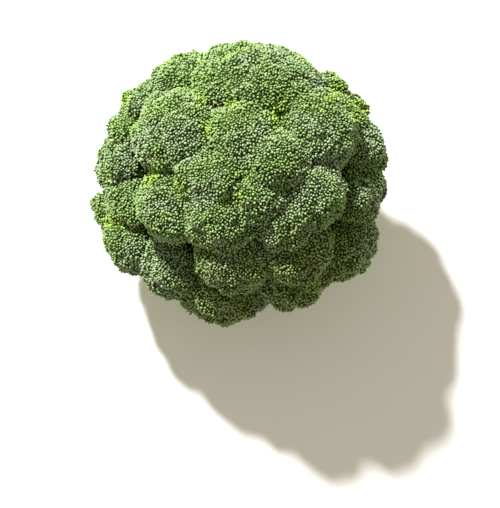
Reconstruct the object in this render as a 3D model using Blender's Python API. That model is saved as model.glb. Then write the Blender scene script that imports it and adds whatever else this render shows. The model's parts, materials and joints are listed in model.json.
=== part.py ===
"""A head of broccoli, standing on the cut end of its stalk.

One stalk carries a crown of florets, each on a branch of its own. All branches spread from
one point inside the stalk, so every floret has a cone of space with its tip at that point,
and neighbours press flat against each other along the walls between their cones.

Sizes are in millimetres and are turned into Blender's metres where a mesh is made. +Z is up
and +Y is north on the plan below. The plan is drawn round the stalk, and the finished head
is moved so that the origin is under the middle of its bounding box.
"""

import math
from dataclasses import dataclass

import bmesh
import bpy
from mathutils import Matrix, Vector

MM = 0.001
GAP = 0.3

# Points nearer than this are one point, and faces within this angle are one flat face.
LEAST_EDGE = 0.08
FLAT_ANGLE = 0.005

# The dome that the florets' tops reach. Its height over the rim is the rise times
# (1 - share ** ROUNDNESS) ** FULLNESS, where share is how far out a point is: 2 and 0.5
# would be an ellipse, and these two give a rounded cone with steeper shoulders.
CROWN_RADIUS = 75.0
RIM_HEIGHT = 62.0
DOME_RISE = 66.0
ROUNDNESS = 1.6
FULLNESS = 0.6

# Nearer to the rim than this share of the radius, the dome's side counts as upright.
UPRIGHT_FROM = 0.995

# The crown leans: it rises this much for each millimetre towards its high side.
CROWN_SLOPE = 0.138
HIGH_SIDE = Vector((math.cos(math.radians(65)), math.sin(math.radians(65)), 0))

# The point inside the stalk where the lines of all the branches meet.
FORK = Vector((0, 0, 25))

# Florets grow this much wider than planned, and the walls between them take up the rest.
CROWDING = 1.2

# A floret is this share of its smaller half width from its middle to its top.
DEPTH_SHARE = 0.92
MOST_DEPTH = 17.0

# Below its dome a floret narrows to a foot, which is this share of the way out to the dome.
FOOT_SHARE = 0.62
FOOT_FLARE = 1.25
BRANCH_SHARE = 0.31
BRANCH_TAPER = 0.92
BRANCH_START = 8.0

STALK_PROFILE = (
    (0.0, 0.0),
    (19.2, 0.0),
    (20.2, 1.0),
    (19.6, 14.0),
    (19.6, 27.0),
    (20.6, 36.0),
    (19.4, 43.0),
    (15.0, 49.0),
    (8.0, 52.8),
    (0.0, 54.0),
)
STALK_SIDES = 32
BRANCH_SIDES = 12
FOOT_SIDES = 12
DOME_SUBDIVISIONS = 3

# Seen from above, each floret's middle (east, north), then its half width round the crown,
# its half length from the rim towards the top, and how far it is raised over the dome.
PLAN = {
    "rim": (
        (8.5, 52.5, 31.0, 24.5, 4.0),
        (46.5, 50.5, 6.0, 6.0, 0.0),
        (52.0, 35.0, 12.5, 12.5, -1.0),
        (61.5, 18.5, 13.0, 14.5, -1.0),
        (65.5, -3.0, 12.0, 8.0, -3.0),
        (59.5, -8.0, 12.5, 14.0, -3.0),
        (53.5, -31.0, 16.5, 18.0, -2.0),
        (27.5, -50.0, 17.0, 13.5, -4.0),
        (-12.0, -56.5, 20.0, 18.0, -4.0),
        (-38.5, -43.5, 16.0, 17.0, -4.0),
        (-60.0, -29.5, 16.5, 15.0, -5.0),
        (-74.0, -12.5, 6.5, 6.5, -12.0),
        (-61.0, -8.5, 10.5, 13.5, -4.0),
        (-65.0, 11.0, 13.0, 16.0, -2.0),
        (-60.5, 27.5, 10.5, 13.0, -1.0),
        (-53.5, 41.5, 9.5, 11.0, 0.0),
        (-32.5, 50.5, 17.0, 18.0, 0.0),
    ),
    "shoulder": (
        (38.0, 29.0, 19.5, 22.0, 3.0),
        (37.0, -6.5, 13.0, 14.5, 2.0),
        (21.0, -21.5, 11.0, 11.5, -1.0),
        (29.0, -37.0, 14.5, 15.0, 0.0),
        (-5.0, -40.0, 16.0, 15.5, -2.0),
        (-13.0, -19.0, 16.5, 14.0, 1.0),
        (-38.5, -12.5, 15.0, 15.5, 0.0),
        (-35.0, 27.0, 19.5, 21.5, 4.0),
    ),
    "top": (
        (0.0, 24.5, 15.5, 15.0, -1.0),
        (18.5, 12.0, 12.0, 13.5, 2.0),
        (9.0, -7.0, 10.5, 12.0, -2.5),
        (-17.5, 2.5, 10.5, 16.5, -1.0),
    ),
}


@dataclass
class Floret:
    """Where one floret sits: its middle, the way it points, and its half sizes."""

    name: str
    branch_name: str
    middle: Vector
    outward: Vector
    around: Vector
    along: Vector
    wide: float
    long: float
    deep: float

    @property
    def reach(self):
        """The line from the fork to the middle."""
        return self.middle - FORK

    @property
    def branch_radius(self):
        return BRANCH_SHARE * min(self.wide, self.long)

    @property
    def foot(self):
        return FORK + self.reach * FOOT_SHARE

    def half_width(self, direction):
        """How far the dome reaches from the middle in a direction."""
        return math.sqrt(
            (self.wide * self.around.dot(direction)) ** 2
            + (self.long * self.along.dot(direction)) ** 2
            + (self.deep * self.outward.dot(direction)) ** 2
        )

    def half_angle(self, direction):
        """Half of the angle that the floret takes up, as seen from the fork."""
        return math.atan2(self.half_width(direction), self.reach.length)


def dome_at(share):
    """The dome's height over the rim and how steeply it falls, both for a dome one unit
    high and one unit in radius, at a share of the way out to the rim."""
    share = min(share, UPRIGHT_FROM)
    left = 1 - share**ROUNDNESS
    fall = FULLNESS * ROUNDNESS * share ** (ROUNDNESS - 1) * left ** (FULLNESS - 1)
    return left**FULLNESS, fall


def place_floret(ring, number, east, north, wide, long, raised):
    """Puts a floret under the dome, leaning out more the nearer it is to the rim."""
    deep = min(DEPTH_SHARE * min(wide, long), MOST_DEPTH)
    inner_radius = CROWN_RADIUS - deep
    inner_rise = DOME_RISE - deep
    height, fall = dome_at(math.hypot(east, north) / inner_radius)
    raised += CROWN_SLOPE * HIGH_SIDE.dot((east, north, 0))
    middle = Vector((east, north, RIM_HEIGHT + inner_rise * height + raised))

    compass = Vector((east, north, 0)).normalized()
    outward = compass * (fall * inner_rise / inner_radius) + Vector((0, 0, 1))
    outward.normalize()
    around = Vector((-compass.y, compass.x, 0))
    return Floret(
        name=f"{ring}_floret_{number:02d}",
        branch_name=f"{ring}_branch_{number:02d}",
        middle=middle,
        outward=outward,
        around=around,
        along=outward.cross(around),
        wide=wide * CROWDING,
        long=long * CROWDING,
        deep=deep,
    )


def clear_scene():
    for obj in list(bpy.data.objects):
        bpy.data.objects.remove(obj)


def make_material(name, colour, roughness):
    material = bpy.data.materials.new(name)
    material.use_nodes = True
    shader = material.node_tree.nodes["Principled BSDF"]
    shader.inputs["Base Color"].default_value = (*colour, 1)
    shader.inputs["Roughness"].default_value = roughness
    shader.inputs["Metallic"].default_value = 0.0
    return material


def add_object(name, bm, material, crease_angle=35):
    """Turns a millimetre bmesh into a metre object, smooth except at its sharp edges."""
    bmesh.ops.scale(bm, vec=(MM, MM, MM), verts=bm.verts)
    bmesh.ops.recalc_face_normals(bm, faces=bm.faces)
    mesh = bpy.data.meshes.new(name)
    bm.to_mesh(mesh)
    bm.free()
    mesh.shade_smooth()
    mesh.set_sharp_from_angle(angle=math.radians(crease_angle))
    mesh.materials.append(material)
    obj = bpy.data.objects.new(name, mesh)
    bpy.context.scene.collection.objects.link(obj)
    return obj


def frame_of(origin, across, up, outward):
    """The matrix that takes local X, Y and Z to these three directions at the origin."""
    turn = Matrix((across, up, outward)).transposed().to_4x4()
    return Matrix.Translation(origin) @ turn


def add_ring(bm, radius, sides, placed):
    """A flat ring of points round local Z."""
    return bmesh.ops.create_circle(
        bm, cap_ends=False, segments=sides, radius=radius, matrix=placed
    )["verts"]


def line_frame(floret, along_line):
    """A frame on the floret's branch line, with its Z out along the line."""
    outward = floret.reach.normalized()
    across = outward.cross(floret.along).normalized()
    return frame_of(FORK + outward * along_line, across, outward.cross(across), outward)


def wall_between(floret, other):
    """The normal of the wall through the fork that parts two florets, or None if they
    stand too far apart to touch. Each gets a share of the angle that fits its width."""
    towards = floret.reach.normalized()
    away = other.reach.normalized()
    sideways = (away - towards * towards.dot(away)).normalized()
    back = (towards - away * away.dot(towards)).normalized()
    mine = floret.half_angle(sideways)
    theirs = other.half_angle(back)
    between = towards.angle(away)
    if between > (mine + theirs) * 1.15:
        return None
    share = between * mine / (mine + theirs)
    return sideways * math.cos(share) - towards * math.sin(share)


def hull_of(points):
    """The closed skin round a set of points."""
    bm = bmesh.new()
    for point in points:
        bm.verts.new(point)
    bmesh.ops.remove_doubles(bm, verts=bm.verts, dist=LEAST_EDGE)
    bmesh.ops.convex_hull(bm, input=bm.verts)
    inside = [v for v in bm.verts if not v.link_faces]
    bmesh.ops.delete(bm, geom=inside, context="VERTS")
    return bm


def cut_away(solid, normal):
    """What is left of a convex solid short of a wall through the fork."""
    bmesh.ops.bisect_plane(
        solid,
        geom=solid.verts[:] + solid.edges[:] + solid.faces[:],
        dist=GAP * 0.01,
        plane_co=FORK - normal * (GAP / 2),
        plane_no=normal,
        clear_outer=True,
    )
    left = hull_of([v.co for v in solid.verts])
    solid.free()
    return left


def within_walls(solid, floret, florets):
    """Trims a convex solid to the floret's own cone of space."""
    for other in florets:
        normal = None if other is floret else wall_between(floret, other)
        if normal is not None:
            solid = cut_away(solid, normal)
    bmesh.ops.dissolve_limit(
        solid, angle_limit=FLAT_ANGLE, verts=solid.verts, edges=solid.edges
    )
    return solid


def make_floret(floret, florets, material):
    """A dome over a cone, flat where it presses on its neighbours."""
    dome = bmesh.new()
    sizes = Matrix.Diagonal((floret.wide, floret.long, floret.deep, 1))
    placed = frame_of(floret.middle, floret.around, floret.along, floret.outward)
    bmesh.ops.create_icosphere(
        dome, subdivisions=DOME_SUBDIVISIONS, radius=1, matrix=placed @ sizes
    )
    foot_frame = line_frame(floret, floret.reach.length * FOOT_SHARE)
    add_ring(dome, floret.branch_radius * FOOT_FLARE, FOOT_SIDES, foot_frame)
    solid = hull_of([v.co for v in dome.verts])
    dome.free()
    solid = within_walls(solid, floret, florets)
    return add_object(floret.name, solid, material)


def spin_profile(profile, grow=0.0):
    """A turned solid from (radius, height) points, every wall moved out by grow."""
    bm = bmesh.new()
    points = []
    for radius, height in profile:
        out = radius + grow if radius else 0.0
        up = height
        if height == profile[-1][1]:
            up = height + grow
        points.append(bm.verts.new((out, 0, up)))
    edges = [bm.edges.new(pair) for pair in zip(points, points[1:])]
    bmesh.ops.spin(
        bm,
        geom=points + edges,
        cent=(0, 0, 0),
        axis=(0, 0, 1),
        angle=math.tau,
        steps=STALK_SIDES,
        use_merge=True,
    )
    bmesh.ops.remove_doubles(bm, verts=bm.verts, dist=0.001)
    return bm


def make_stalk(material):
    return add_object("stalk", spin_profile(STALK_PROFILE), material, crease_angle=50)


def make_stalk_cutter():
    """The stalk with the gap all round it, which cuts the foot of every branch."""
    cutter = add_object("stalk_cutter", spin_profile(STALK_PROFILE, GAP * 1.2), None)
    cutter.hide_render = True
    cutter.display_type = "WIRE"
    return cutter


def make_branch(floret, florets, cutter, material):
    """A tapered round branch from inside the stalk to just short of the floret's foot."""
    end = floret.reach.length * FOOT_SHARE - GAP
    rings = bmesh.new()
    add_ring(rings, floret.branch_radius, BRANCH_SIDES, line_frame(floret, BRANCH_START))
    tip_radius = floret.branch_radius * BRANCH_TAPER
    add_ring(rings, tip_radius, BRANCH_SIDES, line_frame(floret, end))
    solid = hull_of([v.co for v in rings.verts])
    rings.free()
    solid = within_walls(solid, floret, florets)
    branch = add_object(floret.branch_name, solid, material)
    cut = branch.modifiers.new("stalk", "BOOLEAN")
    cut.operation = "DIFFERENCE"
    cut.solver = "EXACT"
    cut.object = cutter
    return branch


def centre_model():
    """Moves every mesh sideways, so the origin is under the middle of the whole head."""
    solids = [obj for obj in bpy.data.objects if not obj.hide_render]
    points = [v.co for obj in solids for v in obj.data.vertices]
    middle = Vector((0, 0, 0))
    for axis in (0, 1):
        low = min(point[axis] for point in points)
        high = max(point[axis] for point in points)
        middle[axis] = (low + high) / 2
    for obj in bpy.data.objects:
        obj.data.transform(Matrix.Translation(-middle))


def main():
    clear_scene()
    bud_green = make_material("bud_green", (0.13, 0.22, 0.07), 0.6)
    stem_green = make_material("stem_green", (0.36, 0.47, 0.19), 0.45)

    florets = [
        place_floret(ring, number, *row)
        for ring, rows in PLAN.items()
        for number, row in enumerate(rows, start=1)
    ]
    make_stalk(stem_green)
    cutter = make_stalk_cutter()
    for floret in florets:
        make_floret(floret, florets, bud_green)
        make_branch(floret, florets, cutter, stem_green)
    centre_model()


main()
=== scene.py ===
# %% [markdown]
# # A head of broccoli, seen from above
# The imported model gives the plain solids: one stalk, and a branch and a floret for each of
# the 29 mounds of the crown. This script keeps their places and sizes and grows the real
# surface on them: stems that fork under the crown, soft mounds, and a closed flower bud at
# every spot of it.

# %% Load the plain head
import json
import math
import random

import bmesh
import bpy
import numpy as np
from mathutils import Matrix, Vector, noise
from mathutils.bvhtree import BVHTree
from mathutils.kdtree import KDTree

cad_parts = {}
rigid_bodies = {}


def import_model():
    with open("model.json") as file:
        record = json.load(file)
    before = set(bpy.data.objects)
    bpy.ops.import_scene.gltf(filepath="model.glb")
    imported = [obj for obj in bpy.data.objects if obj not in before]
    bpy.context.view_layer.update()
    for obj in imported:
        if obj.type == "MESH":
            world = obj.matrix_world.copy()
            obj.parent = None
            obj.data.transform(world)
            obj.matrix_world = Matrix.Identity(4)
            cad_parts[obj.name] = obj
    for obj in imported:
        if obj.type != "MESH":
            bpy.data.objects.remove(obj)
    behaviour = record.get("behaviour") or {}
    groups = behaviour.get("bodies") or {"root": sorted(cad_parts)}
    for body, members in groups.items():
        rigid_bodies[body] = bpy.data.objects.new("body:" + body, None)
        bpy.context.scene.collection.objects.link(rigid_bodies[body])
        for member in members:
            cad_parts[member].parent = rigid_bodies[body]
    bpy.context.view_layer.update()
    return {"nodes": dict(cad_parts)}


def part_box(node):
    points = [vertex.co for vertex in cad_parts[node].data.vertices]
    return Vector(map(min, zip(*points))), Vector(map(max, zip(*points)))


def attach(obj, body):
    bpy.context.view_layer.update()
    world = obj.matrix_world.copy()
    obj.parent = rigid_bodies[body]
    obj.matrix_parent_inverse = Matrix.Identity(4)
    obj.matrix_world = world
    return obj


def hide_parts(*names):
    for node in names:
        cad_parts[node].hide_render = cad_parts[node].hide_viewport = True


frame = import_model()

MM = 0.001
nodes = frame["nodes"]
florets = sorted(name for name in nodes if "_floret_" in name)
print(len(florets), "florets,", len(nodes), "nodes in all")

# %% [markdown]
# ## Camera
# The head stands on its cut end and is seen from straight above, a little off its axis, with
# a long lens. A long lens from far away keeps the mounds at the rim from being hidden behind
# the ones on top.

# %% Camera above the table
CAMERA_HEIGHT = 1362 * MM
CAMERA_EAST = 6.3 * MM
CAMERA_SOUTH = 37.3 * MM
FIELD_AT_RIM = 265.5 * MM
RIM_HEIGHT = 62 * MM
SENSOR_WIDTH = 36

lens = bpy.data.cameras.new("lens")
lens.sensor_fit = "HORIZONTAL"
lens.sensor_width = SENSOR_WIDTH
lens.lens = SENSOR_WIDTH * (CAMERA_HEIGHT - RIM_HEIGHT) / FIELD_AT_RIM
camera = bpy.data.objects.new("camera", lens)
camera.location = (CAMERA_EAST, -CAMERA_SOUTH, CAMERA_HEIGHT)
bpy.context.scene.collection.objects.link(camera)
bpy.context.scene.camera = camera
print(f"{lens.lens:.0f} mm lens")

# %% [markdown]
# ## Table and light
# The table is plain and so white that direct light burns it out. One small lamp hangs 40
# degrees above the table, about two metres away: near enough that the shadow is a little
# larger than the head, and small enough that its edge is only a little soft. A dim warm sky
# fills it.

# %% Table
TABLE_HALF_WIDTH = 2.5
TABLE_WHITE = 0.92

table_mesh = bpy.data.meshes.new("table")
bm = bmesh.new()
bmesh.ops.create_grid(bm, x_segments=1, y_segments=1, size=TABLE_HALF_WIDTH)
bm.to_mesh(table_mesh)
bm.free()
table = bpy.data.objects.new("table", table_mesh)
bpy.context.scene.collection.objects.link(table)

white = bpy.data.materials.new("white_table")
white.use_nodes = True
paint = white.node_tree.nodes["Principled BSDF"]
paint.inputs["Base Color"].default_value = (TABLE_WHITE, TABLE_WHITE, TABLE_WHITE, 1)
paint.inputs["Roughness"].default_value = 0.9
paint.inputs["Specular IOR Level"].default_value = 0.0
table_mesh.materials.append(white)
print(f"table {2 * TABLE_HALF_WIDTH:.0f} m wide")

# %% Lamp and sky
LAMP_ELEVATION = math.radians(40)
LAMP_FROM = Vector((-0.458, 0.889, 0)).normalized()
LAMP_DISTANCE = 2.2
LAMP_WIDTH = 0.17
LIGHT_ON_HEAD = 8.4
SKY_COLOUR = (1.0, 0.92, 0.73)
SKY_STRENGTH = 0.53

lamp_data = bpy.data.lights.new("lamp", "AREA")
lamp_data.shape = "DISK"
lamp_data.size = LAMP_WIDTH
lamp_data.energy = LIGHT_ON_HEAD * math.pi * LAMP_DISTANCE**2
lamp = bpy.data.objects.new("lamp", lamp_data)
to_lamp = LAMP_FROM * math.cos(LAMP_ELEVATION) + Vector((0, 0, math.sin(LAMP_ELEVATION)))
lamp.location = to_lamp * LAMP_DISTANCE
lamp.rotation_euler = to_lamp.to_track_quat("Z", "Y").to_euler()
bpy.context.scene.collection.objects.link(lamp)

sky = bpy.data.worlds.new("sky")
sky.use_nodes = True
glow = sky.node_tree.nodes["Background"]
glow.inputs["Color"].default_value = (*SKY_COLOUR, 1)
glow.inputs["Strength"].default_value = SKY_STRENGTH
bpy.context.scene.world = sky
bpy.context.scene.view_settings.view_transform = "Standard"
print("lamp at", [round(part, 2) for part in lamp.location])

# %% [markdown]
# ## Mounds
# A floret ends in a mound that is round on top and flat where it presses on the next one.
# The plain solid has the right outline already, so the mound starts from a copy of it. The
# lower part is cut off, because only thin stems are there on the real plant. A voxel remesh
# then gives an even skin, and smoothing rolls its edges over, which opens the dark creases
# between neighbours.

# %% Mound helpers
CAP_SHARE = 0.46
SKIN_VOXEL = 1.3 * MM
SKIN_SMOOTHING = 7
SMOOTHING_STEP = 0.6

# Points nearer than this are one point.
SAME_POINT = 0.01 * MM


def merged_copy(node):
    """A bmesh of a node's solid with its loose triangles joined."""
    bm = bmesh.new()
    bm.from_mesh(nodes[node].data)
    bmesh.ops.remove_doubles(bm, verts=bm.verts, dist=SAME_POINT)
    return bm


def middle_of(bm):
    """The middle of a mesh's points."""
    total = sum((v.co for v in bm.verts), Vector())
    return total / len(bm.verts)


def growth_line(floret):
    """Where a floret's branch ends, and the direction that the floret grows in."""
    branch = merged_copy(floret.replace("floret", "branch"))
    solid = merged_copy(floret)
    direction = (middle_of(solid) - middle_of(branch)).normalized()
    foot = min(solid.verts, key=lambda v: v.co.dot(direction)).co
    along = direction * (foot - middle_of(branch)).dot(direction)
    tip = middle_of(branch) + along
    top = max(v.co.dot(direction) for v in solid.verts) - tip.dot(direction)
    branch.free()
    solid.free()
    return tip, direction, top


def new_object(name, mesh):
    obj = bpy.data.objects.new(name, mesh)
    bpy.context.scene.collection.objects.link(obj)
    return obj


def mesh_from(name, bm):
    mesh = bpy.data.meshes.new(name)
    bm.to_mesh(mesh)
    bm.free()
    return mesh


def with_modifiers(obj):
    """The object's mesh with its modifiers applied, in place of the old one."""
    graph = bpy.context.evaluated_depsgraph_get()
    finished = bpy.data.meshes.new_from_object(obj.evaluated_get(graph))
    obj.modifiers.clear()
    old = obj.data
    obj.data = finished
    finished.name = obj.name
    bpy.data.meshes.remove(old)


# %% Cut, remesh and smooth each mound
mounds = {}
lines = {}
for floret in florets:
    tip, direction, top = growth_line(floret)
    lines[floret] = (tip, direction, top)
    cap = merged_copy(floret)
    cut = bmesh.ops.bisect_plane(
        cap,
        geom=cap.verts[:] + cap.edges[:] + cap.faces[:],
        dist=SAME_POINT,
        plane_co=tip + direction * top * CAP_SHARE,
        plane_no=direction,
        clear_inner=True,
    )
    rim = [e for e in cut["geom_cut"] if isinstance(e, bmesh.types.BMEdge)]
    bmesh.ops.contextual_create(cap, geom=rim)
    mound = new_object(floret.replace("floret", "mound"), mesh_from(floret, cap))
    remesh = mound.modifiers.new("even_skin", "REMESH")
    remesh.mode = "VOXEL"
    remesh.voxel_size = SKIN_VOXEL
    smooth = mound.modifiers.new("rolled_edges", "SMOOTH")
    smooth.factor = SMOOTHING_STEP
    smooth.iterations = SKIN_SMOOTHING
    with_modifiers(mound)
    mounds[floret] = mound
print(sum(len(mound.data.vertices) for mound in mounds.values()), "points on the mounds")

# %% [markdown]
# The outermost buds of a mound are the youngest and shortest, so a mound falls away all round
# its edge. Each point is lowered by how far it is from the line the mound grows along. A high
# power keeps the middle as it is and bends only the edge down.

# %% Round off the mounds
EDGE_DROP = 0.25
EDGE_SHARPNESS = 4
LEAST_DROP = 0.3
MOST_SHARE = 1.15

# A mound's half width leaves out this share of stray points at its edge.
EDGE_POINTS = 0.05


def round_off(mesh, tip, direction):
    """Lowers a mound the more, the further a point is from the line it grows along."""
    offsets = [v.co - tip for v in mesh.vertices]
    sideways = [(o - direction * o.dot(direction)).length for o in offsets]
    width = sorted(sideways)[int(len(sideways) * (1 - EDGE_POINTS))]
    drop = direction * EDGE_DROP * width * max(direction.z, LEAST_DROP)
    for vertex, side in zip(mesh.vertices, sideways):
        vertex.co -= drop * min(side / width, MOST_SHARE) ** EDGE_SHARPNESS
    mesh.update()


for floret, mound in mounds.items():
    tip, direction, _ = lines[floret]
    round_off(mound.data, tip, direction)
print(f"edges lowered by {EDGE_DROP:.0%} of a mound's half width")

# %% [markdown]
# A mound is not one smooth dome. It is a bunch of smaller bunches, and each of those bulges a
# little. Cells of a Voronoi pattern have that layout: a point stands proud by how near it is
# to the middle of its cell, and dips at the borders. Two sizes of cell give the two levels,
# and noise bends the borders so that they do not run straight. The noise has a seed, because
# without one it would come out different every time.

# %% Bulges on the mounds
NOISE_SEED = 4
BIG_BULGE, BIG_HEIGHT = 12 * MM, 4.0 * MM
SMALL_BULGE, SMALL_HEIGHT = 4.8 * MM, 2.1 * MM
WANDER, WANDER_SIZE = 0.35, 1.3
CREASE_WIDTH = 1.8
DOME_WIDTH = 0.9
SINK_AT_TOP, SINK_AT_SIDES = 3.2 * MM, 1.8 * MM
SMALL_OFFSET = Vector((1, 2, 3))

noise.seed_set(NOISE_SEED)


def bulge(point, size, height):
    """How far a point is pushed out, from 0 at a border to the height in a cell's middle."""
    place = point / size
    place += noise.noise_vector(place * WANDER_SIZE) * WANDER
    nearest, second = noise.voronoi(place)[0][:2]
    crease = min((second - nearest) * CREASE_WIDTH, 1) ** 0.5
    dome = max(1 - (nearest / DOME_WIDTH) ** 2, 0)
    return height * (0.5 * crease + 0.5 * dome)


def swell(mesh, direction):
    """Sinks a mesh a little and pushes it out again by both sizes of bulge."""
    normals = [v.normal.copy() for v in mesh.vertices]
    for vertex, normal in zip(mesh.vertices, normals):
        big = bulge(vertex.co, BIG_BULGE, BIG_HEIGHT)
        small = bulge(vertex.co + SMALL_OFFSET, SMALL_BULGE, SMALL_HEIGHT)
        facing = max(normal.dot(direction), 0)
        sink = SINK_AT_SIDES * (1 - facing) + SINK_AT_TOP * facing
        vertex.co += normal * (big + small - sink)
    mesh.update()


for floret, mound in mounds.items():
    swell(mound.data, lines[floret][1])
print(f"bulges about {BIG_BULGE / MM:.0f} and {SMALL_BULGE / MM:.1f} mm wide")

# %% [markdown]
# ## How open each spot is
# Buds only grow where they can get out, and their colour depends on it: those deep in a
# crease stay pale yellow-green, because they have seen little sun, and they are also painted
# darker, as painted shade. Rays sent out from a spot tell how much of it is open.

# %% Measure openness with rays
RAY_REACH = 28 * MM
RAY_STEP_OFF = 1.0 * MM
RAYS = 14
FAN_DEPTH = 0.9
GOLDEN_ANGLE = 2.399963


def ray_fan():
    """Directions spread evenly over a dome round +Z, on a spiral."""
    fan = []
    for i in range(RAYS):
        height = 1 - (i + 0.5) / RAYS * FAN_DEPTH
        turn = i * GOLDEN_ANGLE
        flat = math.sqrt(1 - height * height)
        fan.append(Vector((flat * math.cos(turn), flat * math.sin(turn), height)))
    return fan


def joined_tree(objects):
    """One ray-casting tree for several objects."""
    points, faces = [], []
    for obj in objects:
        start = len(points)
        points += [v.co for v in obj.data.vertices]
        faces += [[start + i for i in face.vertices] for face in obj.data.polygons]
    return BVHTree.FromPolygons(points, faces)


FAN = ray_fan()
crown = joined_tree(mounds.values())
print(len(FAN), "rays for each spot")


def openness(point, normal):
    """The share of rays from a spot that leave the crown."""
    turn = normal.to_track_quat("Z", "Y")
    start = point + normal * RAY_STEP_OFF
    free = 0
    for ray in FAN:
        if crown.ray_cast(start, turn @ ray, RAY_REACH)[0] is None:
            free += 1
    return free / len(FAN)


# %% [markdown]
# ## A bud
# A closed bud is an egg about 1.3 mm wide, with four sepals folded over its tip. It is stamped
# tens of thousands of times, so it has few faces: a sphere with eight sides, drawn in between
# the sepals. Its points carry values for the colours: one runs from its base to its tip, and
# the others are filled in when it is stamped.

# %% Model one bud
BUD_RADIUS = 0.66 * MM
BUD_LENGTH = 1.5
SEPAL_FOLD = 0.88

# A point lies between two sepals if the product of its x and its y is above this.
BETWEEN_SEPALS = 0.1


def make_bud():
    """A bud one unit wide, pointing along +Z."""
    bm = bmesh.new()
    bm.loops.layers.uv.new("OFBake")
    bmesh.ops.create_uvsphere(bm, u_segments=8, v_segments=4, radius=1, calc_uvs=True)
    seams = [v for v in bm.verts if abs(v.co.x * v.co.y) > BETWEEN_SEPALS]
    bmesh.ops.scale(bm, vec=(SEPAL_FOLD, SEPAL_FOLD, 1.0), verts=seams)
    bmesh.ops.scale(bm, vec=(1, 1, BUD_LENGTH), verts=bm.verts)
    mesh = mesh_from("bud", bm)
    mesh.shade_smooth()
    for name in ("openness", "tone", "young", "bloom", "dull"):
        mesh.attributes.new(name, "FLOAT", "POINT")
    tips = mesh.attributes.new("tip", "FLOAT", "POINT")
    for vertex, tip in zip(mesh.vertices, tips.data):
        tip.value = 0.5 + 0.5 * vertex.co.z / BUD_LENGTH
    return mesh


bud = make_bud()
print(len(bud.polygons), "faces on a bud")

# %% [markdown]
# ## Scatter the buds
# Buds grow pressed against each other, in no order. Throwing darts copies that: spots are
# thrown on a mound at random, and one is kept only if no kept spot is too near.

# %% Throw the darts
BUD_SPACING = 1.15 * MM
DARTS_PER_MM2 = 5.5


def random_spots(mesh, rng):
    """Random points with normals, as many on each face as its area asks for."""
    spots = []
    mesh.calc_loop_triangles()
    for triangle in mesh.loop_triangles:
        a, b, c = (mesh.vertices[i] for i in triangle.vertices)
        hits = triangle.area / MM**2 * DARTS_PER_MM2
        for _ in range(int(hits + rng.random())):
            u, v = rng.random(), rng.random()
            if u + v > 1:
                u, v = 1 - u, 1 - v
            point = a.co + (b.co - a.co) * u + (c.co - a.co) * v
            normal = a.normal * (1 - u - v) + b.normal * u + c.normal * v
            spots.append((point, normal.normalized()))
    rng.shuffle(spots)
    return spots


def keep_apart(spots, spacing):
    """The spots that are no nearer than the spacing to an earlier one."""
    grid = {}
    kept = []
    reach = (-1, 0, 1)
    for point, normal in spots:
        x, y, z = (math.floor(part / spacing) for part in point)
        near = (
            other
            for dx in reach
            for dy in reach
            for dz in reach
            for other in grid.get((x + dx, y + dy, z + dz), ())
        )
        if all((other - point).length_squared >= spacing * spacing for other in near):
            grid.setdefault((x, y, z), []).append(point)
            kept.append((point, normal))
    return kept


# %% [markdown]
# ## Places with a colour of their own, and painted shade
# Buds in some creases came late and are still young and yellow-green. Others have a grey-blue
# wax on them, called bloom. On the shady side, patches are painted darker and browner: painted
# shade. Each patch below is a round spot on the crown, seen from above, that fades out at its
# edge.

# %% Patches: the middle (east, north) and the half width, in millimetres
YOUNG_PATCHES = (
    (-16, 26, 6),
    (-45, 2, 7),
    (-19, 42, 6),
    (63, 38, 13),
    (50, 50, 6),
    (-8, -11, 5),
    (-28, -3, 6),
    (-37, -18, 5),
    (2, -8, 4),
    (18, 31, 4),
    (40, -55, 6),
    (-60, 45, 8),
    (-66, -20, 8),
    (20, 37, 5),
    (-2, 40, 5),
    (48, 43, 7),
)
BLOOM_PATCHES = (
    (-28, 20, 15),
    (44, 12, 15),
    (36, -5, 12),
    (-38, -42, 15),
    (10, 20, 12),
    (-4, -44, 11),
    (66, -8, 11),
    (15, -32, 12),
    (-55, 12, 12),
)
# Painted shade: patches on the shady side of the crown.
SHADE_SIDE_PATCHES = (
    (-8, -62, 30),
    (34, -50, 26),
    (25, -28, 9),
    (-18, -33, 9),
    (60, -22, 14),
)
PATCH_FADE = 1.3


def patch_share(point, patches):
    """How much a spot belongs to a set of patches: 1 in the middle of one, 0 outside."""
    share = 0.0
    for east, north, half_width in patches:
        away = math.hypot(point.x / MM - east, point.y / MM - north) / half_width
        share = max(share, PATCH_FADE - away)
    return min(max(share, 0), 1)


for kind, patches in (
    ("young", YOUNG_PATCHES),
    ("waxy", BLOOM_PATCHES),
    ("dull", SHADE_SIDE_PATCHES),
):
    print(len(patches), kind, "patches")


# %% [markdown]
# ## Stamp the buds
# Every spot gets a copy of the bud, turned and sized a little differently. Small bunches of
# buds stand higher than the gaps between them, so the Voronoi pattern is used once more, at
# the size of such a bunch. The openness of a spot is averaged with its neighbours', because a
# few rays alone give a jumpy value.
#
# Each bud also gets its own square of a UV map, so a finished picture of the colours can be
# stored for it.

# %% Values and map places
def softened(spots, values, reach):
    """Each spot's value, averaged with those of the spots near it."""
    tree = KDTree(len(spots))
    for i, (point, _) in enumerate(spots):
        tree.insert(point, i)
    tree.balance()
    soft = []
    for point, _ in spots:
        near = [values[i] for _, i, _ in tree.find_range(point, reach)]
        soft.append(sum(near) / len(near))
    return soft


BAKE_SHARE = 0.9


def add_bake_map(mesh, count):
    """A UV map in which every bud has a square of its own, laid out like a globe's map."""
    places = np.zeros(len(bud.loops) * 2)
    bud.uv_layers["OFBake"].data.foreach_get("uv", places)
    across = math.ceil(math.sqrt(count))
    cells = np.array([divmod(i, across) for i in range(count)])
    spread = places.reshape(1, -1, 2) * BAKE_SHARE + (1 - BAKE_SHARE) / 2
    filled = (spread + cells[:, None, :]) / across
    mesh.uv_layers["OFBake"].data.foreach_set("uv", filled.ravel())


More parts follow.
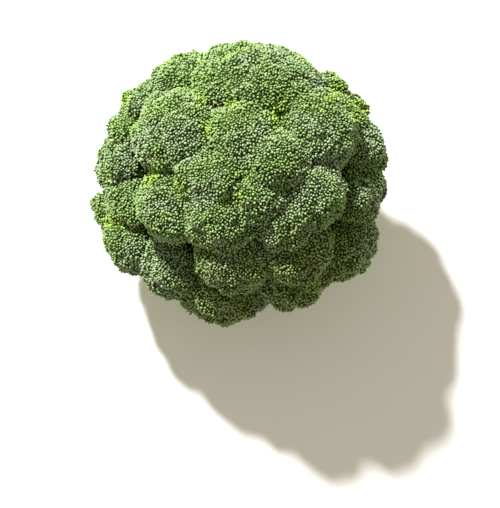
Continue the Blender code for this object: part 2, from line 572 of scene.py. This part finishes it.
# %% Stamp a bud on every spot
LEAST_OPEN = 0.1
LEAST_FACING = -0.35
SOFTENING_REACH = 2.6 * MM
CLUSTER, CLUSTER_HEIGHT = 3.0 * MM, 1.3 * MM
CLUSTER_MIDDLE = 0.4
LEAN = 0.5
SIZE_SPREAD = 0.28
HEIGHT_SPREAD = 0.25 * MM
YOUNG_IN_CREASE = 0.8
PATCH_SPREAD = 0.2
BUD_SEED = 100


def placed_bud(point, normal, stand, rng):
    """A copy of the bud on its spot, leaning a little and a little larger or smaller."""
    jitter = Vector([rng.uniform(-LEAN, LEAN) for _ in range(3)])
    turn = (normal + jitter).to_track_quat("Z", "Y").to_matrix().to_4x4()
    size = BUD_RADIUS * rng.uniform(1 - SIZE_SPREAD, 1 + SIZE_SPREAD)
    spin = Matrix.Rotation(rng.uniform(0, math.tau), 4, "Z")
    height = (stand - CLUSTER_MIDDLE) * CLUSTER_HEIGHT
    height += rng.uniform(-HEIGHT_SPREAD, HEIGHT_SPREAD)
    lift = Matrix.Translation(point + normal * height)
    copy = bud.copy()
    copy.transform(lift @ turn @ spin @ Matrix.Scale(size, 4))
    return copy


def colour_values(point, stand, open_share, rng):
    """What the colours of one bud depend on."""
    crease = YOUNG_IN_CREASE * (0.5 - open_share)
    spread = [rng.uniform(-PATCH_SPREAD, PATCH_SPREAD) for _ in range(3)]
    return {
        "openness": open_share,
        "young": patch_share(point, YOUNG_PATCHES) + crease + spread[0],
        "bloom": patch_share(point, BLOOM_PATCHES) + spread[1],
        "dull": patch_share(point, SHADE_SIDE_PATCHES) + spread[2],
        # Half random tone, half painted shade: buds low between bunches come out darker.
        "tone": 0.5 * stand + 0.5 * rng.random(),
    }


def grow_buds(floret, rng):
    """One mesh with all the buds of a mound, and how many they are."""
    direction = lines[floret][1]
    spots = keep_apart(random_spots(mounds[floret].data, rng), BUD_SPACING)
    spots = [spot for spot in spots if spot[1].dot(direction) > LEAST_FACING]
    open_shares = softened(spots, [openness(*spot) for spot in spots], SOFTENING_REACH)
    bm = bmesh.new()
    count = 0
    for (point, normal), open_share in zip(spots, open_shares):
        if open_share < LEAST_OPEN:
            continue
        stand = bulge(point, CLUSTER, 1.0)
        copy = placed_bud(point, normal, stand, rng)
        for name, value in colour_values(point, stand, open_share, rng).items():
            copy.attributes[name].data.foreach_set("value", [value] * len(copy.vertices))
        bm.from_mesh(copy)
        bpy.data.meshes.remove(copy)
        count += 1
    mesh = mesh_from(floret, bm)
    add_bake_map(mesh, count)
    return mesh, count


bud_pieces = {}
total = 0
for number, floret in enumerate(florets):
    mesh, count = grow_buds(floret, random.Random(BUD_SEED + number))
    mesh.shade_smooth()
    piece = new_object(floret.replace("floret", "buds"), mesh)
    bud_pieces[floret] = piece
    total += count
print(total, "buds")

# %% [markdown]
# ## Stems under the crown
# Each branch runs up the side of the stalk like a rib, bends out to its floret and forks into
# twigs, and those fork once more just under the buds. All of them are tubes along a curved
# path. A ring of points is placed at each step of the path and bridged to the last, which
# gives control over how thick the tube is at every step.

# %% A tube along a path
def grow_tube(whole, path, radii, sides):
    """Adds a closed tube through the points of a path, with a radius at each."""
    bm = bmesh.new()
    last_ring = []
    for i, (point, radius) in enumerate(zip(path, radii)):
        ahead = path[min(i + 1, len(path) - 1)] - path[max(i - 1, 0)]
        turn = ahead.to_track_quat("Z", "Y").to_matrix().to_4x4()
        circle = bmesh.ops.create_circle(
            bm,
            cap_ends=i in (0, len(path) - 1),
            segments=sides,
            radius=radius,
            matrix=Matrix.Translation(point) @ turn,
        )
        edges = [edge for vert in circle["verts"] for edge in vert.link_edges]
        ring = list(dict.fromkeys(edges))
        if last_ring:
            bmesh.ops.bridge_loops(bm, edges=last_ring + ring)
        last_ring = ring
    bmesh.ops.recalc_face_normals(bm, faces=bm.faces)
    tube = mesh_from("tube", bm)
    whole.from_mesh(tube)
    bpy.data.meshes.remove(tube)


def bend(start, middle, end, steps):
    """Points on a curve that leaves start towards middle and reaches end from it."""
    points = []
    for i in range(steps + 1):
        t = i / steps
        points.append(start.lerp(middle, t).lerp(middle.lerp(end, t), t))
    return points


def tapered(first, last, steps):
    return [first + (last - first) * i / steps for i in range(steps + 1)]


# %% [markdown]
# A branch starts thin under the stalk's skin, is thickest where it comes out, and widens
# again under its floret. Starting low inside the stalk makes it rise out of the skin
# gradually, as if the two had grown together.

# %% Branches
ROOT_RUN = 20 * MM
ROOT_DEPTH = 3 * MM
SKIN_SHARE = 0.93
BRANCH_SWELLING = (0.55, 0.8, 1.05, 1.2, 1.15, 1.05, 0.98, 0.94, 0.92, 0.92, 0.94, 0.98, 1.03)
BRANCH_STEPS = len(BRANCH_SWELLING) - 1
BRANCH_SIDES = 18
CORNER_SHARE = 0.4

low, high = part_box("stalk")
stalk_middle = (low + high) / 2
stalk_radius = (high.x - low.x) / 2


def branch_size(floret):
    """The two ends and the thickness of a floret's branch in the plain model."""
    solid = merged_copy(floret.replace("floret", "branch"))
    tip, direction, _ = lines[floret]
    middle = middle_of(solid)
    start = min((v.co - middle).dot(direction) for v in solid.verts)
    spread = [(v.co - middle) for v in solid.verts]
    radius = max((s - direction * s.dot(direction)).length for s in spread)
    solid.free()
    return middle + direction * start, tip, radius


def root_path(start, tip, radius):
    """From under the stalk's skin up and out to the tip: a branch of the side runs down the
    stalk for a while, and one of the top goes straight in."""
    out = Vector((start.x - stalk_middle.x, start.y - stalk_middle.y, 0))
    side_share = min(out.length / stalk_radius, 1) ** 2
    furthest = stalk_radius * SKIN_SHARE - radius * BRANCH_SWELLING[0]
    root = Vector((stalk_middle.x, stalk_middle.y, start.z))
    root += out.normalized() * min(out.length, furthest)
    corner = start.lerp(tip, CORNER_SHARE).lerp(root, side_share)
    root.z -= ROOT_RUN * side_share + ROOT_DEPTH
    return bend(root, corner, tip, BRANCH_STEPS)


def make_branch(floret):
    start, tip, radius = branch_size(floret)
    path = root_path(start, tip, radius)
    radii = [radius * swelling for swelling in BRANCH_SWELLING]
    bm = bmesh.new()
    grow_tube(bm, path, radii, BRANCH_SIDES)
    return new_object(floret.replace("floret", "stem"), mesh_from(floret, bm))


branches = {floret: make_branch(floret) for floret in florets}
branch_radius = {floret: branch_size(floret)[2] for floret in florets}
print(len(branches), "branches")

# %% [markdown]
# Twigs fan out from the end of a branch to spots spread over the under side of the mound, and
# each forks into three finer ones. They are seen only from below and from the side.

# %% Twigs
TWIG_SPACING = 8.0 * MM
TWIG_SIDES, TWIG_STEPS = 7, 6
TWIG_SHARE = 0.42
TWIG_END = 0.8 * MM
LEAST_TWIG = 1.2 * MM
INTO_MOUND = 1.5 * MM
BELOW_FACING = -0.25
FORK_AT = 0.62
SIDE_TWIGS = 3
SIDE_SIDES, SIDE_STEPS = 6, 3
SIDE_START, SIDE_END = 0.9 * MM, 0.6 * MM
SIDE_REACH = TWIG_SPACING * 0.42
SIDE_SAG = 0.5 * MM
TWIG_SEED = 500

# Twigs leave a branch this share of its radius off its middle, but not further than this
# share of their own way sideways. They bend at this share of their length.
START_SHARE, MOST_SIDEWAYS = 0.55, 0.6
BEND_SHARE = 0.45


def under_side(floret, rng):
    """Spots spread over the under side of a mound."""
    direction = lines[floret][1]
    points = mounds[floret].data.vertices
    below = [(v.co.copy(), v.normal.copy()) for v in points]
    below = [spot for spot in below if spot[1].dot(direction) < BELOW_FACING]
    rng.shuffle(below)
    return keep_apart(below, TWIG_SPACING)


def twig_path(start, direction, radius, point, normal):
    """From within the end of a branch up to just inside the mound at a spot."""
    reach = (point - start).length
    side = (point - start) - direction * (point - start).dot(direction)
    off_middle = START_SHARE * radius / max(side.length, SAME_POINT)
    start = start + side * min(off_middle, MOST_SIDEWAYS)
    middle = start + direction * reach * BEND_SHARE
    return bend(start, middle, point - normal * INTO_MOUND, TWIG_STEPS)


def add_side_twigs(bm, path, direction, normal, rng):
    """Three finer twigs that part from a twig and end round its own end."""
    fork = path[int(TWIG_STEPS * FORK_AT)]
    radii = tapered(SIDE_START, SIDE_END, SIDE_STEPS)
    for number in range(SIDE_TWIGS):
        angle = math.tau * (number + rng.random()) / SIDE_TWIGS
        out = Matrix.Rotation(angle, 3, normal) @ normal.orthogonal()
        end = path[-1] + out * SIDE_REACH - normal * SIDE_SAG
        knee = fork.lerp(end, 0.5) + direction * SIDE_SAG
        grow_tube(bm, bend(fork, knee, end, SIDE_STEPS), radii, SIDE_SIDES)


def make_twigs(floret, rng):
    """The twigs of a floret, from its branch up into the under side of its mound."""
    tip, direction, _ = lines[floret]
    radius = branch_radius[floret]
    radii = tapered(max(radius * TWIG_SHARE, LEAST_TWIG), TWIG_END, TWIG_STEPS)
    start = tip - direction * INTO_MOUND
    bm = bmesh.new()
    spots = under_side(floret, rng)
    for point, normal in spots:
        path = twig_path(start, direction, radius, point, normal)
        grow_tube(bm, path, radii, TWIG_SIDES)
        add_side_twigs(bm, path, direction, normal, rng)
    return new_object(floret.replace("floret", "twigs"), mesh_from(floret, bm)), len(spots)


twigs = {}
count = 0
for number, floret in enumerate(florets):
    twigs[floret], forks = make_twigs(floret, random.Random(TWIG_SEED + number))
    count += forks
print(count, "twigs")

# %% [markdown]
# ## Stalk
# The stalk is cut off flat. Its skin has shallow ridges that run up into the branches, and
# pale scars where leaves were trimmed away: shallow dents with a raised lip. It is turned
# from a profile with close rings of points, and every point is then moved in or out. The
# points also store where the scars and the cut end are, for the colours.

# %% Turn the stalk and give it ridges
STALK_SIDES = 128
STALK_LEVELS = 60

# Shares of the plain stalk's radius: at the cut, what the waist takes off, and what the
# shoulder adds again.
FOOT_WIDTH, WAIST, FLARE = 0.955, 0.03, 0.03

# The shoulder's share of the plain stalk's height, and the part over which the top rounds off.
SHOULDER_SHARE, CAP_HEIGHT = 0.72, 0.40

RIDGES, RIDGE_HEIGHT = 9, 0.55 * MM
RIDGE_WANDER, WANDER_LENGTH = 1.5, 20 * MM
LEAST_RIDGE = 0.4
LUMP_SIZE, LUMP_HEIGHT = 9 * MM, 0.5 * MM
CORE_RADIUS = 2 * MM

# Leaf scars: the way round in degrees and the height of their middles. The shares are of the
# way from a scar's middle to its lip.
SCARS = ((35, 17), (150, 27), (262, 13), (325, 33))
SCAR_HALF_WIDTH = 9 * MM
SCAR_HALF_HEIGHT = 3.6 * MM
SCAR_CURVE = 0.4
LIP_HEIGHT, LIP_SHARE = 0.8 * MM, 0.25
SCAR_DEPTH, DENT_SHARE = 0.5 * MM, 0.85
SCAR_COLOUR_FADE = 1.6


def stalk_radius_at(height):
    """A barely waisted stalk that spreads again where the branches leave it."""
    share = height / (high.z * SHOULDER_SHARE)
    if share <= 1:
        width = FOOT_WIDTH - WAIST * math.sin(math.pi * share) + FLARE * share**3
        return stalk_radius * width
    over = (share - 1) / CAP_HEIGHT
    return stalk_radius * (FOOT_WIDTH + FLARE) * math.sqrt(max(1 - over**2, 0))


def scar_distance(angle, height):
    """How far a place on the skin is from the nearest scar's middle; 1 is on its lip."""
    nearest = math.inf
    for degrees, middle in SCARS:
        turn = math.remainder(angle - math.radians(degrees), math.tau)
        across = turn * stalk_radius / SCAR_HALF_WIDTH
        up = (height - middle * MM) / SCAR_HALF_HEIGHT - across * across * SCAR_CURVE
        nearest = min(nearest, math.hypot(across, up))
    return nearest


def turned_profile():
    """The plain stalk: its profile turned round the axis."""
    bm = bmesh.new()
    top = high.z * SHOULDER_SHARE * (1 + CAP_HEIGHT)
    heights = [top * i / STALK_LEVELS for i in range(STALK_LEVELS + 1)]
    points = [bm.verts.new((0, 0, 0))]
    points += [bm.verts.new((stalk_radius_at(h), 0, h)) for h in heights]
    edges = [bm.edges.new(pair) for pair in zip(points, points[1:])]
    bmesh.ops.spin(
        bm,
        geom=points + edges,
        cent=(0, 0, 0),
        axis=(0, 0, 1),
        angle=math.tau,
        steps=STALK_SIDES,
        use_merge=True,
    )
    bmesh.ops.remove_doubles(bm, verts=bm.verts, dist=SAME_POINT)
    return bm


def skin_offset(angle, place):
    """How far ridges, lumps and scars move a place on the skin outwards."""
    round_way = (math.cos(angle), math.sin(angle), place.z / WANDER_LENGTH)
    wander = noise.noise(Vector(round_way)) * RIDGE_WANDER
    ridge = math.cos(RIDGES * angle + wander) * (LEAST_RIDGE + place.z / high.z)
    lump = noise.noise(place / LUMP_SIZE) * LUMP_HEIGHT
    away = scar_distance(angle, place.z)
    lip = LIP_HEIGHT * math.exp(-(((away - 1) / LIP_SHARE) ** 2))
    dent = SCAR_DEPTH if away < DENT_SHARE else 0.0
    return ridge * RIDGE_HEIGHT + lump + lip - dent


def make_stalk():
    """The stalk, with its scars and its cut end stored on its points: a cut value of 1 is in
    the middle of the cut end, and a half is on its rim."""
    bm = turned_profile()
    scar = bm.verts.layers.float.new("scar")
    cut = bm.verts.layers.float.new("cut")
    for vertex in bm.verts:
        out = Vector((vertex.co.x, vertex.co.y, 0))
        in_core = out.length < CORE_RADIUS
        if vertex.co.z < SAME_POINT:
            vertex[cut] = 1.0 if in_core else 0.5
        elif not in_core:
            angle = math.atan2(out.y, out.x)
            away = scar_distance(angle, vertex.co.z)
            vertex[scar] = min(max(SCAR_COLOUR_FADE - away, 0), 1)
            vertex.co += out.normalized() * skin_offset(angle, vertex.co)
    bmesh.ops.translate(bm, verts=bm.verts, vec=(stalk_middle.x, stalk_middle.y, 0))
    bmesh.ops.recalc_face_normals(bm, faces=bm.faces)
    return new_object("stalk_skin", mesh_from("stalk_skin", bm))


stalk = make_stalk()
print(len(stalk.data.polygons), "faces on the stalk")

# %% [markdown]
# ## Colours
# Everything here is plant skin: a slightly waxy surface whose colour wanders. Patterns read
# the place of a point on the object, so they run on from piece to piece. The buds and the
# stalk add the values that are stored on their points.

# %% Material helpers
def new_material(name, roughness):
    """A material, its node tree and its shader."""
    material = bpy.data.materials.new(name)
    material.use_nodes = True
    tree = material.node_tree
    shader = tree.nodes["Principled BSDF"]
    shader.inputs["Roughness"].default_value = roughness
    return material, tree, shader


def place_noise(tree, size, detail=2.0, stretch=(1, 1, 1)):
    """Noise of about the given size in metres, in object space."""
    place = tree.nodes.new("ShaderNodeTexCoord")
    mapping = tree.nodes.new("ShaderNodeMapping")
    mapping.inputs["Scale"].default_value = stretch
    texture = tree.nodes.new("ShaderNodeTexNoise")
    texture.inputs["Scale"].default_value = 1 / size
    texture.inputs["Detail"].default_value = detail
    tree.links.new(place.outputs["Object"], mapping.inputs["Vector"])
    tree.links.new(mapping.outputs["Vector"], texture.inputs["Vector"])
    return texture.outputs["Fac"]


def value_of(tree, name):
    """A value stored on the mesh's points."""
    attribute = tree.nodes.new("ShaderNodeAttribute")
    attribute.attribute_name = name
    return attribute.outputs["Fac"]


def ramp(tree, source, *stops):
    """A colour for each value: stops are (position, colour)."""
    node = tree.nodes.new("ShaderNodeValToRGB")
    node.color_ramp.elements[0].position = stops[0][0]
    node.color_ramp.elements[0].color = (*stops[0][1], 1)
    node.color_ramp.elements[1].position = stops[-1][0]
    node.color_ramp.elements[1].color = (*stops[-1][1], 1)
    for position, colour in stops[1:-1]:
        node.color_ramp.elements.new(position).color = (*colour, 1)
    tree.links.new(source, node.inputs["Fac"])
    return node.outputs["Color"]


def grey(level):
    return (level, level, level)


def plug(tree, socket, value):
    """Links a socket to another one, or sets a plain number or colour on it."""
    if isinstance(value, bpy.types.NodeSocket):
        tree.links.new(value, socket)
    elif isinstance(value, float):
        socket.default_value = value
    else:
        socket.default_value = (*value, 1)


def mix(tree, kind, share, first, second):
    """Two colours mixed; each may be a socket or a plain value."""
    node = tree.nodes.new("ShaderNodeMix")
    node.data_type = "RGBA"
    node.blend_type = kind
    plug(tree, node.inputs["Factor"], share)
    plug(tree, node.inputs["A"], first)
    plug(tree, node.inputs["B"], second)
    return node.outputs["Result"]


def bump_from(tree, shader, source, distance):
    """Lets a pattern raise the surface by up to a distance."""
    node = tree.nodes.new("ShaderNodeBump")
    node.inputs["Distance"].default_value = distance
    node.inputs["Strength"].default_value = 1.0
    tree.links.new(source, node.inputs["Height"])
    tree.links.new(node.outputs["Normal"], shader.inputs["Normal"])


# %% [markdown]
# A bud is painted dark at its base, which is painted shade, and pale at its tip, which is its
# wax with some painted highlight. Over that come the wandering leaf green, the bloom, painted
# shade in the creases and on the shady side, and the young patches. Buds low between bunches
# get painted shade through their tone.

# %% Colours of the buds
LEAF_GREEN = (0.188, 0.292, 0.083)
BLOOM_GREEN = (0.238, 0.312, 0.170)
YOUNG_GREEN = (0.255, 0.400, 0.042)
SHADE_GREEN = (0.080, 0.150, 0.012)
CREASE_SHADE_BROWN = (0.130, 0.120, 0.028)
SHADE_SIDE_GREEN = (0.185, 0.225, 0.070)
# Painted shade on a bud's lower half; the pale bluish tip is wax with some painted highlight.
SHADED_BASE_TO_PALE_TIP = (
    (0.35, (0.05, 0.13, 0.01)),
    (0.56, (0.54, 0.71, 0.22)),
    (0.74, (1.16, 1.10, 1.30)),
)


def bud_material():
    material, tree, shader = new_material("flower_buds", 0.55)
    shader.inputs["Specular IOR Level"].default_value = 0.2
    leaf = ramp(
        tree,
        place_noise(tree, 20 * MM),
        (0.42, LEAF_GREEN),
        (0.68, BLOOM_GREEN),
    )
    bloom = ramp(tree, value_of(tree, "bloom"), (0.1, grey(0)), (0.9, grey(0.85)))
    skin = mix(tree, "MIX", bloom, leaf, BLOOM_GREEN)
    # Painted shade: dark greens and browns for buds deep in creases.
    shaded = ramp(
        tree,
        place_noise(tree, 15 * MM),
        (0.50, SHADE_GREEN),
        (0.62, CREASE_SHADE_BROWN),
    )
    # Where few rays get out, in creases, the colour turns to the painted shade.
    open_share = ramp(tree, value_of(tree, "openness"), (0.12, grey(0)), (0.50, grey(1)))
    colour = mix(tree, "MIX", open_share, shaded, skin)
    # Painted shade: the shady side's patches turn darker and browner.
    side_shade_share = ramp(tree, value_of(tree, "dull"), (0.1, grey(0)), (1.0, grey(0.75)))
    colour = mix(tree, "MIX", side_shade_share, colour, SHADE_SIDE_GREEN)
    young = ramp(tree, value_of(tree, "young"), (0.15, grey(0)), (1.2, grey(0.85)))
    colour = mix(tree, "MIX", young, colour, YOUNG_GREEN)
    # Random tone with painted shade on buds low between bunches.
    tone = ramp(tree, value_of(tree, "tone"), (0.0, grey(0.6)), (1.0, grey(1.3)))
    colour = mix(tree, "MULTIPLY", 1.0, colour, tone)
    # Painted shade at the base of every bud, and wax with painted highlight at its tip.
    tip = ramp(tree, value_of(tree, "tip"), *SHADED_BASE_TO_PALE_TIP)
    colour = mix(tree, "MULTIPLY", 1.0, colour, tip)
    tree.links.new(colour, shader.inputs["Base Color"])
    return material


# Painted shade: near-black greens for the gaps between the buds.
GAP_SHADE_GREENS = (0.012, 0.028, 0.003), (0.035, 0.065, 0.007)


def mound_material():
    """The thin stalks under the buds, painted near black as painted shade, because hardly any
    light reaches them.
    """
    material, tree, shader = new_material("shaded_bud_stalks", 0.8)
    shader.inputs["Specular IOR Level"].default_value = 0.1
    spots = place_noise(tree, 4 * MM)
    colour = ramp(tree, spots, (0.3, GAP_SHADE_GREENS[0]), (0.7, GAP_SHADE_GREENS[1]))
    tree.links.new(colour, shader.inputs["Base Color"])
    bump_from(tree, shader, place_noise(tree, 1.2 * MM), 0.6 * MM)
    return material


# %% [markdown]
# Stems are paler than buds, with long faint streaks. The cut end shows pale pith inside a
# ring of greener fibre.

# %% Colours of the stems
STEM_GREENS = (0.25, 0.36, 0.10), (0.42, 0.52, 0.20)
STEM_BLOOM = (1.12, 1.14, 1.25)
SCAR_COLOUR = (0.45, 0.55, 0.25)
FIBRE_COLOUR = (0.30, 0.38, 0.12)
PITH_COLOUR = (0.58, 0.62, 0.36)


def stem_material():
    material, tree, shader = new_material("stem_skin", 0.42)
    streaks = place_noise(tree, 3.5 * MM, 3.0, (1, 1, 0.12))
    colour = ramp(tree, streaks, (0.35, STEM_GREENS[0]), (0.65, STEM_GREENS[1]))
    bloom = ramp(tree, place_noise(tree, 14 * MM), (0.45, grey(1.0)), (0.7, STEM_BLOOM))
    colour = mix(tree, "MULTIPLY", 1.0, colour, bloom)
    scar = ramp(tree, value_of(tree, "scar"), (0.3, grey(0)), (0.75, grey(1)))
    colour = mix(tree, "MIX", scar, colour, SCAR_COLOUR)
    pith = ramp(tree, value_of(tree, "cut"), (0.50, FIBRE_COLOUR), (0.62, PITH_COLOUR))
    cut = ramp(tree, value_of(tree, "cut"), (0.40, grey(0)), (0.49, grey(1)))
    colour = mix(tree, "MIX", cut, colour, pith)
    tree.links.new(colour, shader.inputs["Base Color"])
    bump_from(tree, shader, streaks, 0.35 * MM)
    return material


# %% Put the colours on
finishes = {"buds": bud_material(), "mound": mound_material(), "stem": stem_material()}
for pieces, finish in (
    (bud_pieces, "buds"),
    (mounds, "mound"),
    (branches, "stem"),
    (twigs, "stem"),
    ({"stalk": stalk}, "stem"),
):
    for piece in pieces.values():
        piece.data.materials.clear()
        piece.data.materials.append(finishes[finish])
        piece.data.shade_smooth()
    print(finish, "on", len(pieces), "pieces")

# %% [markdown]
# ## Tie the pieces to the plain head
# Every new piece replaces the plain solid that it grew from.

# %% Finish
for floret in florets:
    for piece in (bud_pieces[floret], mounds[floret], twigs[floret]):
        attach(piece, "root")
        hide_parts(floret)
    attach(branches[floret], "root")
    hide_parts(floret.replace("floret", "branch"))
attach(stalk, "root")
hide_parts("stalk")

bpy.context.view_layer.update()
triangles = 0
for piece in bpy.data.objects:
    if piece.type == "MESH" and not piece.hide_render:
        triangles += sum(len(face.vertices) - 2 for face in piece.data.polygons)
print(triangles, "triangles")
